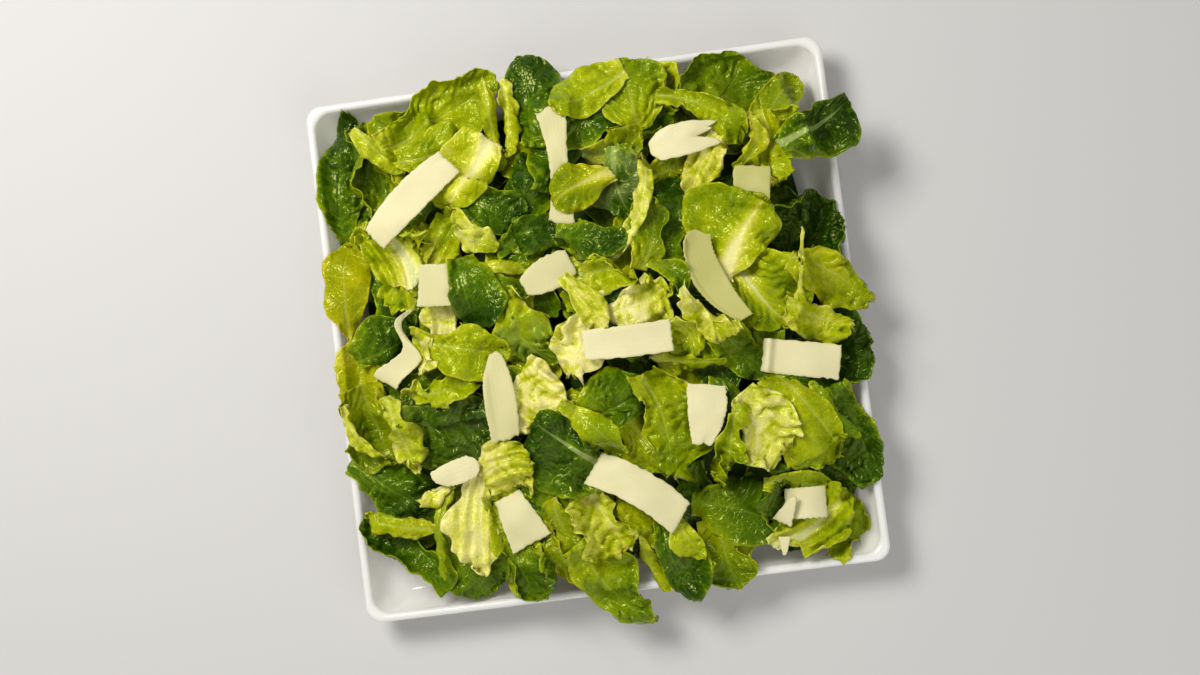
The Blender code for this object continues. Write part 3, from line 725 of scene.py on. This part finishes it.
    (-84, -104, 264, 52, 30, "P", "pleated", {"deep": 0.1, "veins": 22.0, "blister": 0.15, "pleat": 1.5, "ruffle": 2.2, "wave": 20, "base": 0.4, "creases": ()}),
    (-57, -72, 15, 28, 38, "P", "pleated", {"deep": 0.12, "creases": ()}),
    (-69, -105, 275, 30, 12, "Y", "rolled", {}),
    1, 3, 8, 9, 10, 11, 13, 14, 15, 16,
)
filler = {"count": 72, "spread": 122, "spacing": 1.8, "seed": 21}


def leafOutline(length, width, base, widest, heel, spacing):
    # Half width along the leaf: a smooth rise from the cut base to the widest place, then half an
    # ellipse to the tip. Rows are evenly spaced up to the widest place and by a sine beyond it.
    lower = max(4, int(length * widest / spacing))
    upper = max(5, int(length * (1 - widest) * 1.25 / spacing))
    first = np.linspace(0, widest, lower, endpoint=False)
    turn = np.linspace(0, 0.955, upper) * pi / 2
    u = np.concatenate([first, widest + (1 - widest) * np.sin(turn)])
    rise = base + (1 - base) * np.sin(np.clip(u / widest, 0, 1) * pi / 2) ** 1.3
    if heel > 0:
        rise = rise * np.sqrt(np.clip(1 - (1 - np.clip(u / heel, 0, 1)) ** 2, 0.02, 1))
    fall = np.sqrt(np.clip(1 - ((u - widest) / (1 - widest)) ** 2, 0, 1))
    half = width / 2 * np.where(u < widest, rise, fall)
    return u, half


def crease(points, direction, offset, fold, radius):
    # Bends everything beyond a line on the leaf about that line. The distance past the line is
    # wrapped round an arc of the given radius, then runs on straight at the fold angle.
    c, sn = cos(radians(direction)), sin(radians(direction))
    past = points[..., 0] * c + points[..., 1] * sn - offset
    sign = np.sign(fold)
    full = radians(abs(fold))
    turned = np.clip(past / radius, 0, full)
    beyond = np.maximum(past - radius * full, 0)
    reach = radius * np.sin(turned) + beyond * cos(full)
    climb = radius * (1 - np.cos(turned)) + beyond * sin(full)
    height = points[..., 2]
    reach = np.where(past > 0, reach - sign * height * np.sin(turned), past)
    climb = np.where(past > 0, sign * climb + height * np.cos(turned), height)
    shift = reach - past
    return np.stack([points[..., 0] + shift * c, points[..., 1] + shift * sn, climb], axis=-1)


def bentSheet(length, width, look, rng, spacing):
    # A leaf as a bent sheet: slopes are summed across from the rib and along the rib, so that
    # lengths on the surface stay true; waves, blisters and pleats are then added along the normal.
    u, half = leafOutline(length, width, look["base"], look["widest"], look["heel"], spacing)
    columns = max(9, int(width / spacing)) | 1
    middle = columns // 2
    v = np.linspace(-1, 1, columns)[None, :]
    rows = len(u)
    straight = (u * length)[:, None]
    # notches along the margin, in millimetres, fade out inside the leaf
    notch = 0.6 * smoothWaves(rng, straight, v * half[:, None], 15.0) + 0.16 * smoothWaves(rng, straight, v * 17, 5.0)
    notch *= look["tear"]
    bias = 1 + leafStyle["lopsided"] * look["tear"] * smoothWaves(rng, straight, np.sign(v) * 60.0, 30.0)
    offset = np.clip(rng.normal(0, leafStyle["offset"]), -0.5, 0.5)
    bias = bias + np.sign(v) * (offset if look["offset"] is None else look["offset"])
    t = half[:, None] * v * bias + np.sign(v) * np.abs(v) ** 5 * notch
    s = straight + u[:, None] ** 10 * notch
    share = (half / half.max())[:, None]
    angle = radians(look["cup"]) * v * (0.35 + 0.65 * share) + radians(look["curl"]) * v ** 3 * share
    angle = angle + radians(look["fold"]) * np.sign(t) * (1 - np.exp(-np.abs(t) / 2.5))
    stepT = np.diff(t, axis=1)
    meanAngle = (angle[:, 1:] + angle[:, :-1]) / 2
    start = np.zeros((rows, 1))
    sideways = np.concatenate([start, np.cumsum(np.cos(meanAngle) * stepT, axis=1)], axis=1)
    upward = np.concatenate([start, np.cumsum(np.sin(meanAngle) * stepT, axis=1)], axis=1)
    sideways -= sideways[:, middle:middle + 1]
    upward -= upward[:, middle:middle + 1]
    tilt = rng.normal(0, leafStyle["tilt"], 2) * look["tear"]
    pitch = np.radians(look["pitch"] + tilt[0] + look["bend"] * (u - 0.5))
    stepS = np.diff(u * length)
    meanPitch = (pitch[1:] + pitch[:-1]) / 2
    alongX = np.concatenate([[0], np.cumsum(np.cos(meanPitch) * stepS)])[:, None] + s - straight
    alongZ = np.concatenate([[0], np.cumsum(np.sin(meanPitch) * stepS)])[:, None]
    roll = np.radians(look["roll"] + tilt[1] + look["twist"] * (u - 0.5))
    c, sn = np.cos(roll)[:, None], np.sin(roll)[:, None]
    side = sideways * c - upward * sn
    up = sideways * sn + upward * c
    points = np.stack([
        alongX - np.sin(pitch)[:, None] * up,
        side,
        alongZ + np.cos(pitch)[:, None] * up,
    ], axis=-1)
    bow = rng.normal(0, leafStyle["bow"]) * length * look["tear"] + look["bow"]
    points[..., 1] += bow * (4 * (u * (1 - u))[:, None] - 0.5)
    creases = look["creases"]
    if creases is None:
        creases = [(rng.uniform(-180, 180), rng.uniform(0.12, 0.32) * length,
                    rng.choice([-1, 1]) * rng.uniform(20, 55), 3.5) for _ in range(rng.integers(0, 3))]
    for fold in creases:
        points = crease(points - [length / 2, 0, 0], *fold) + [length / 2, 0, 0]
    normal = surfaceNormals(points)
    edge = 1 - (1 - v ** 2) * (1 - u[:, None] ** 4)
    ruffle = smoothWaves(rng, s, t, look["wave"]) + 0.4 * smoothWaves(rng, s, t, look["wave"] / 2.2)
    ruffle = look["ruffle"] * (0.12 + 0.88 * edge ** 1.5) * ruffle
    frill = 0.25 * edge ** 4 * smoothWaves(rng, s, t, 4.5)
    warp = look["warp"] * smoothWaves(rng, s, t, 36.0)
    wander = 0.28 * smoothWaves(rng, s, t, 22.0) + 0.12 * smoothWaves(rng, s, t, 9.0)
    vein = (s - leafStyle["veinLean"] * np.abs(t)) / look["veins"] + wander
    across = np.abs(t) / (0.88 * look["veins"]) + 0.37 * np.floor(vein) + 0.2 * smoothWaves(rng, s, t, 15.0)
    pillow = (np.abs(np.sin(pi * vein)) * (0.35 + 0.65 * np.abs(np.sin(pi * across)))) ** 0.6
    offRib = 1 - np.exp(-(t / 3.0) ** 2)
    patchy = 0.8 + 0.35 * smoothWaves(rng, s, t, 26.0)
    blister = 2.9 * look["blister"] * (pillow - 0.6) * offRib * np.clip(patchy, 0.2, 1.4)
    blister *= np.clip((1 - np.abs(v)) * 6, 0.25, 1)
    if look["under"]:
        blister = -blister
    pleat = look["pleat"] * np.sin(2 * pi * (t + 0.12 * s) / 6.5 + 0.5 * np.sin(s / 8)) * offRib
    ribWidth = (0.9 + 2.4 * look["rib"] * (1 - u) ** 1.3)[:, None]
    groove = np.exp(-(t / ribWidth) ** 2) * (1 - 0.6 * u)[:, None]
    ribHeight = (1.1 if look["under"] else -0.9) * groove * min(1.0, 0.3 + 1.6 * look["rib"])
    points = points + normal * (ruffle + frill + warp + blister + pleat + ribHeight)[..., None]
    thickness = leafStyle["thickness"] + 2.2 * look["rib"] * groove * (1 - u)[:, None]
    margin = np.minimum(half[:, None] * (1 - np.abs(v)), (1 - u)[:, None] * length)
    return points, u, v, s, t, pillow, thickness, margin


def buildLeaf(leaf, spacing):
    # Bends a leaf twice: the first time to see how much narrower the bending makes its plan view.
    x, y, heading, length, width, tone, form, tweaks = leaf
    look = {**plain, **forms[form], **tweaks}
    seeds = [leafStyle["seed"], int(x) + 999, int(y) + 999, look["seed"]]
    reach = leafStyle["reach"] * length
    inward = 0.026 * (1 - (max(abs(x), abs(y)) / 165) ** 2)
    x, y = x + (60 - x) * inward, y + (-50 - y) * inward
    x, y = x - reach / 2 * cos(radians(heading)), y - reach / 2 * sin(radians(heading))
    length = length + reach
    first = bentSheet(length, width, look, np.random.default_rng(seeds), spacing * 2)[0]
    spans = np.ptp(first[..., :2].reshape(-1, 2), axis=0)
    longer, wider = np.clip([length / spans[0], width / spans[1]], 0.9, 1.9)
    rng = np.random.default_rng(seeds)
    points, u, v, s, t, pillow, thickness, margin = bentSheet(length * longer, width * wider, look, rng, spacing)
    centre = (points.reshape(-1, 3).max(axis=0) + points.reshape(-1, 3).min(axis=0)) / 2
    points = points - centre
    turn = radians(heading)
    placed = np.stack([
        x + points[..., 0] * cos(turn) - points[..., 1] * sin(turn),
        y + points[..., 0] * sin(turn) + points[..., 1] * cos(turn),
        points[..., 2],
    ], axis=-1)
    ones = np.ones(t.shape)
    shade = np.stack([
        u[:, None] * ones,
        ones * look.get("line", 0.05 + 0.9 * look["rib"]),
        ones * (look.get("deep", tones[tone][0]) + rng.uniform(-0.06, 0.06)),
        ones * (look.get("warm", tones[tone][1]) + rng.uniform(-0.12, 0.12)),
    ], axis=-1)
    # blister relief, kept lower on flat leaves; the shader paints shade in its hollows on pale and lime leaves
    dimple = 1 - (1 - pillow) * min(1.0, look["blister"] + 0.2)
    # marks: rib size, pale mottling, blister relief, and nearness to the margin for the painted light along the edges
    marks = np.stack([ones * look["rib"], ones * look["frost"], dimple, np.exp(-margin / look["rim"])], axis=-1)
    return {"points": placed, "s": s, "t": t, "shade": shade, "marks": marks, "thickness": thickness,
            "tone": tone, "lift": look["lift"], "share": rng.uniform(0, 1)}


# Height map of the pile, one cell a millimetre, and the shavings' undersides as a ceiling.
mapHalf = 200
heightMap = np.zeros((2 * mapHalf + 1, 2 * mapHalf + 1))
axis = np.arange(-mapHalf, mapHalf + 1)
mapX, mapY = np.meshgrid(axis, axis)


def plateTop(x, y):
    inset = plate["width"] / 2 - np.maximum(np.abs(x), np.abs(y))
    fall = np.clip((inset - plate["lipWidth"]) / plate["wallWidth"], 0, 1)
    wall = plate["floorHeight"] + (plate["height"] - plate["floorHeight"]) * (1 - fall) ** plate["wallCurve"]
    return np.where(inset < 0, plate["height"] - 1.0, np.where(inset < plate["lipWidth"], plate["height"], wall))


core = {"top": 35.5, "edge": 15.0, "reach": 130.0, "relief": 2.2, "steps": 80, "seed": 3}


def coreHeight(x, y):
    half = core["reach"]
    spread = np.clip((np.abs(x / half) ** 3 + np.abs(y / half) ** 3) ** (2 / 3), 0, 1)
    rng = np.random.default_rng(core["seed"])
    lumps = smoothWaves(rng, x, y, 21.0) + 0.5 * smoothWaves(rng, x, y, 9.0)
    return core["edge"] + (core["top"] - core["edge"]) * (1 - spread) + core["relief"] * lumps * (1 - spread)


def cells(points):
    column = np.clip(np.round(points[..., 0]).astype(int) + mapHalf, 0, 2 * mapHalf)
    row = np.clip(np.round(points[..., 1]).astype(int) + mapHalf, 0, 2 * mapHalf)
    return row, column


def grown(table):
    # Each cell takes the largest of itself and its neighbours.
    wide = np.maximum(np.maximum(table[:, :-2], table[:, 1:-1]), table[:, 2:])
    wide = np.pad(wide, ((0, 0), (1, 1)), constant_values=-np.inf)
    tall = np.maximum(np.maximum(wide[:-2], wide[1:-1]), wide[2:])
    return np.pad(tall, ((1, 1), (0, 0)), constant_values=-np.inf)


def stamp(points):
    # Adds a surface to the height map.
    layer = np.full(heightMap.shape, -np.inf)
    row, column = cells(points)
    np.maximum.at(layer, (row, column), points[..., 2])
    np.maximum(heightMap, grown(layer), out=heightMap)


def softened(field, rounds):
    for _ in range(rounds):
        padded = np.pad(field, 1, mode="edge")
        field = (padded[:-2, 1:-1] + padded[2:, 1:-1] + padded[1:-1, :-2] + padded[1:-1, 2:]) / 4
    return field


def settle(leaf, ceiling):
    # Lays a leaf on the pile: it is set down until part of it touches, the touching part bends up
    # over what is below, and what a shaving covers bends down under it.
    points = leaf["points"]
    row, column = cells(points)
    ground = heightMap[row, column] + leafStyle["gap"] + leafStyle["thickness"]
    need = ground - points[..., 2]
    points[..., 2] += np.percentile(need, leafStyle["rest"]) + leaf["lift"]
    push = np.maximum(ground - points[..., 2], 0)
    field = push
    for _ in range(6):
        field = np.maximum(softened(field, 4), push)
    points[..., 2] += field
    over = np.maximum(points[..., 2] - ceiling[row, column], 0)
    if over.max() > 0:
        field = over
        for _ in range(6):
            field = np.maximum(softened(field, 4), over)
        points[..., 2] -= field
    stamp(points)


def packedCells(count):
    # Splits the unit square into a grid of cells, one a leaf.
    side = int(np.ceil(np.sqrt(count)))
    return [((k % side) / side, (k // side) / side, 1 / side) for k in range(count)]


def leafCorners(rows, columns, cell):
    # Places in the bake's map: upper face, lower face, and a thin strip for the border.
    left, low, size = cell
    size = size * 0.96
    a = np.linspace(0, 1, rows)[:, None] + np.zeros((rows, columns))
    b = np.linspace(0, 1, columns)[None, :] + np.zeros((rows, columns))
    upper = np.stack([left + size * a, low + size * 0.47 * b], axis=-1).reshape(-1, 2)
    lower = np.stack([left + size * a, low + size * (0.53 + 0.47 * b)], axis=-1).reshape(-1, 2)
    count = 2 * (rows + columns) - 4
    start = left + size * np.arange(count) / count
    end = start + size / count
    bottom, top = low + size * 0.485, low + size * 0.515
    level = np.full(count, bottom), np.full(count, top)
    strip = np.stack([
        np.stack([start, level[0]], 1), np.stack([end, level[0]], 1),
        np.stack([end, level[1]], 1), np.stack([start, level[1]], 1),
    ], axis=1)
    return upper, lower, strip


def joinLeaves(name, leaves, material):
    # One piece of many closed leaves, with a map in decimetres for veins and one for the bake.
    points, faces, veins, bake, shades, marks = [], [], [], [], [], []
    total = 0
    for leaf, cell in zip(leaves, packedCells(len(leaves))):
        surface = leaf["points"]
        rows, columns = surface.shape[:2]
        normal = surfaceNormals(surface)
        lower = surface - normal * leaf["thickness"][..., None]
        points.append(surface.reshape(-1, 3))
        points.append(lower.reshape(-1, 3))
        upperFaces, lowerFaces, stripFaces = shellFaces(rows, columns)
        allFaces = np.concatenate([upperFaces, lowerFaces, stripFaces])
        faces.append(allFaces + total)
        flat = np.stack([leaf["s"], leaf["t"]], axis=-1).reshape(-1, 2) / 100 + leaf["share"] * 7
        flat[:, 1] = leaf["t"].ravel() / 100
        both = np.concatenate([flat, flat])
        veins.append(both[allFaces.ravel()])
        upper, under, strip = leafCorners(rows, columns, cell)
        bakePlaces = np.concatenate([upper, under])
        corner = np.concatenate([upperFaces, lowerFaces]).ravel()
        bake.append(np.concatenate([bakePlaces[corner], strip.reshape(-1, 2)]))
        shade = leaf["shade"].reshape(-1, 4)
        shades.append(np.concatenate([shade, shade]))
        mark = leaf["marks"].reshape(-1, 4)
        marks.append(np.concatenate([mark, mark]))
        total += 2 * rows * columns
    uvs = {"veins": np.concatenate(veins), "OFBake": np.concatenate(bake)}
    piece = meshPiece(name, np.concatenate(points), np.concatenate(faces), material,
                      uvs=uvs,
                      data={"leafShade": np.concatenate(shades), "leafMarks": np.concatenate(marks)})
    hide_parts("salad_leaves")
    print(name, len(leaves), "leaves,", 2 * len(piece.data.polygons), "triangles")
    return piece


def leafMaterial(name):
    material, tree, shader = newMaterial(name)
    data = addNode(tree, "ShaderNodeAttribute", {"attribute_name": "leafShade"})
    parts = addNode(tree, "ShaderNodeSeparateColor", None, {"Color": data.outputs["Color"]})
    along = Wire(tree, parts.outputs[0])
    line = Wire(tree, parts.outputs[1])
    tone = Wire(tree, parts.outputs[2])
    warmth = Wire(tree, data.outputs["Alpha"])
    marks = addNode(tree, "ShaderNodeAttribute", {"attribute_name": "leafMarks"})
    markParts = addNode(tree, "ShaderNodeSeparateColor", None, {"Color": marks.outputs["Color"]})
    ribSize = Wire(tree, markParts.outputs[0])
    frost = Wire(tree, markParts.outputs[1])
    pillow = Wire(tree, markParts.outputs[2])
    # nearness to the margin, for the painted light along the edges
    rim = Wire(tree, marks.outputs["Alpha"])
    flat = addNode(tree, "ShaderNodeUVMap", {"uv_map": "veins"}).outputs[0]
    split = addNode(tree, "ShaderNodeSeparateXYZ", None, {"Vector": flat})
    s = Wire(tree, split.outputs[0]) * 100
    t = (Wire(tree, split.outputs[1]) * 100).absolute()
    mesh = addNode(tree, "ShaderNodeTexVoronoi", {"feature": "DISTANCE_TO_EDGE"}, {"Vector": flat, "Scale": 34.0})
    fine = (1 - Wire(tree, mesh.outputs["Distance"]) * 9.0).clamp()
    patch = noise(tree, flat, 6.0, 3.0)
    blotch = noise(tree, flat, 2.2, 1.0)
    # the rib is broad at the cut base and thins towards the tip
    taper = 1 - along
    ribWidth = 0.45 + 1.0 * taper + 2.6 * ribSize * taper * taper
    rib = ((1 - t / ribWidth) * 2.0).clamp()
    zone = (1 - t / (1.5 + 14.0 * ribSize * taper.math("POWER", 0.7))).clamp()
    zone = zone * zone * ribSize * taper.math("POWER", 0.4) * (1.25 - tone)
    # hollows between the blisters: painted shade, greener, on pale and lime leaves; lighter side veins on green and
    # dark leaves
    hollow = (1 - pillow * 1.25).clamp() * (patch * 2.2 - 0.3).clamp()
    # greener towards the tip, paler at the base; painted light along the margins, a lighter band for lit, glowing
    # edges; in the hollows between blisters painted shade on pale and lime leaves and lighter side veins on dark ones
    depth = tone * (0.72 + 0.32 * along) + (patch - 0.5) * 0.34 + (blotch - 0.5) * 0.34
    depth = depth + hollow * (0.42 - 0.68 * tone - 0.25 * zone) - fine * 0.09 - zone * 0.55 - rim * (0.32 * tone)
    ramp = addNode(tree, "ShaderNodeValToRGB", {"stops": (
        (0.0, (0.84, 0.82, 0.34)), (0.13, (0.64, 0.66, 0.09)), (0.30, (0.39, 0.455, 0.002)),
        (0.48, (0.205, 0.292, 0.001)), (0.66, (0.074, 0.150, 0.001)), (0.83, (0.023, 0.067, 0.001)),
        (1.0, (0.007, 0.026, 0.001)))},
        {"Fac": depth.clamp()})
    warm = mixColour(tree, warmth * 0.6, ramp.outputs[0], (1.25, 0.90, 0.5), "MULTIPLY")
    ribTone = mixColour(tree, (tone * (1.3 - 0.9 * ribSize)).clamp(), (0.74, 0.74, 0.34), (0.17, 0.30, 0.02))
    ribbed = mixColour(tree, (rib * line * (taper * 1.8).clamp()).clamp(), warm, ribTone)
    # pale grey-green mottling in patches, as strong as each leaf's share of it
    dusted = mixColour(tree, (frost * (patch * 6 - 2.7).clamp()).clamp(), ribbed, (0.46, 0.53, 0.15))
    plug(tree, shader.inputs["Base Color"], dusted)
    plug(tree, shader.inputs["Roughness"], 0.07 + 0.16 * patch + 0.1 * frost)
    shader.inputs["IOR"].default_value = 1.4
    shader.inputs["Specular Tint"].default_value = (0.95, 1.0, 0.32, 1.0)
    shader.inputs["Subsurface Weight"].default_value = 0.12
    shader.inputs["Subsurface Radius"].default_value = (0.8, 1.0, 0.1)
    shader.inputs["Subsurface Scale"].default_value = 0.0012
    relief = 0.6 * patch - 0.4 * fine - 0.5 * rib
    bump = addNode(tree, "ShaderNodeBump", None, {"Strength": 0.7, "Distance": 0.0004, "Height": relief})
    plug(tree, shader.inputs["Normal"], bump.outputs[0])
    return material


def makeCore():
    # A dome on a square grid stretched to a rounded outline, closed by a flat underside; its near-black green is
    # painted shade for the depths between the leaves.
    steps = core["steps"]
    line = np.linspace(-1, 1, steps)
    a, b = np.meshgrid(line, line, indexing="ij")
    x = a * core["reach"] * np.sqrt(1 - b ** 2 / 5)
    y = b * core["reach"] * np.sqrt(1 - a ** 2 / 5)
    seat = plateTop(x, y) + 0.6
    top = np.maximum(coreHeight(x, y) - 1.5, seat + 0.5)
    points = np.concatenate([np.stack([x, y, top], -1).reshape(-1, 3), np.stack([x, y, seat], -1).reshape(-1, 3)])
    material, tree, shader = newMaterial("deep_painted_shade")
    place = addNode(tree, "ShaderNodeTexCoord").outputs["Object"]
    shade = noise(tree, place, 60.0, 3.0)
    # painted shade: near-black greens that stand in for the shadow deep in the pile
    tint = mixColour(tree, shade, (0.008, 0.025, 0.002), (0.04, 0.08, 0.004))
    plug(tree, shader.inputs["Base Color"], tint)
    plug(tree, shader.inputs["Roughness"], 0.5 + 0.3 * shade)
    shader.inputs["IOR"].default_value = 1.2
    piece = meshPiece("leaf_core_painted_shade", points, np.concatenate(shellFaces(steps, steps)), material)
    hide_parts("salad_leaves")


def makeCeiling():
    # Lowest cone over every shaving still to come, in the cells that it covers.
    table = {}
    for number in range(1, len(shavings) + 1):
        layer = np.full(heightMap.shape, -np.inf)
        for _, surface in shavingSheets(number, 60, 24):
            row, column = cells(surface)
            np.maximum.at(layer, (row, column), cheese["thickness"] / 2 + 0.6 - surface[..., 2])
        layer = -grown(grown(layer))
        table[number] = layer
    return table


def makeLeaves():
    inside = np.abs(mapX) ** 3 + np.abs(mapY) ** 3 < core["reach"] ** 3 * 1.3
    np.maximum(plateTop(mapX, mapY), np.where(inside, coreHeight(mapX, mapY), 0), out=heightMap)
    heightMap[(np.abs(mapX) > 151) | (np.abs(mapY) > 151)] = plate["height"] - 3
    ceilings = makeCeiling()
    ahead = {entry for entry in salad if isinstance(entry, int)}
    lid = np.full(heightMap.shape, cadBox[1][2] / mm - 0.7)
    groups = {}
    extra = np.random.default_rng(filler["seed"])
    for _ in range(filler["count"]):
        x, y = extra.uniform(-filler["spread"], filler["spread"], 2)
        heading, length, width = extra.uniform(0, 360), extra.uniform(32, 48), extra.uniform(24, 36)
        tone = extra.choice(["D", "M", "M", "Y"])
        leaf = buildLeaf((x, y, heading, length, width, tone, "flat", {}), filler["spacing"])
        settle(leaf, np.min([lid] + [ceilings[number] for number in ahead], axis=0))
        groups.setdefault("under", []).append(leaf)
    for entry in salad:
        if isinstance(entry, int):
            ahead.discard(entry)
            for _, surface in shavingSheets(entry, 80, 30):
                stamp(surface + [0, 0, cheese["thickness"] / 2])
            continue
        leaf = buildLeaf(entry, leafStyle["spacing"])
        settle(leaf, np.min([lid] + [ceilings[number] for number in ahead], axis=0))
        groups.setdefault(leaf["tone"], []).append(leaf)
    names = {"under": "leaves_beneath", "D": "leaves_dark", "M": "leaves_green", "Y": "leaves_lime",
             "O": "leaves_olive", "P": "leaves_pale"}
    material = leafMaterial("romaine_leaf")
    for group, leaves in groups.items():
        joinLeaves(names[group], leaves, material)


makeCore()
makeLeaves()
print("leaves made")
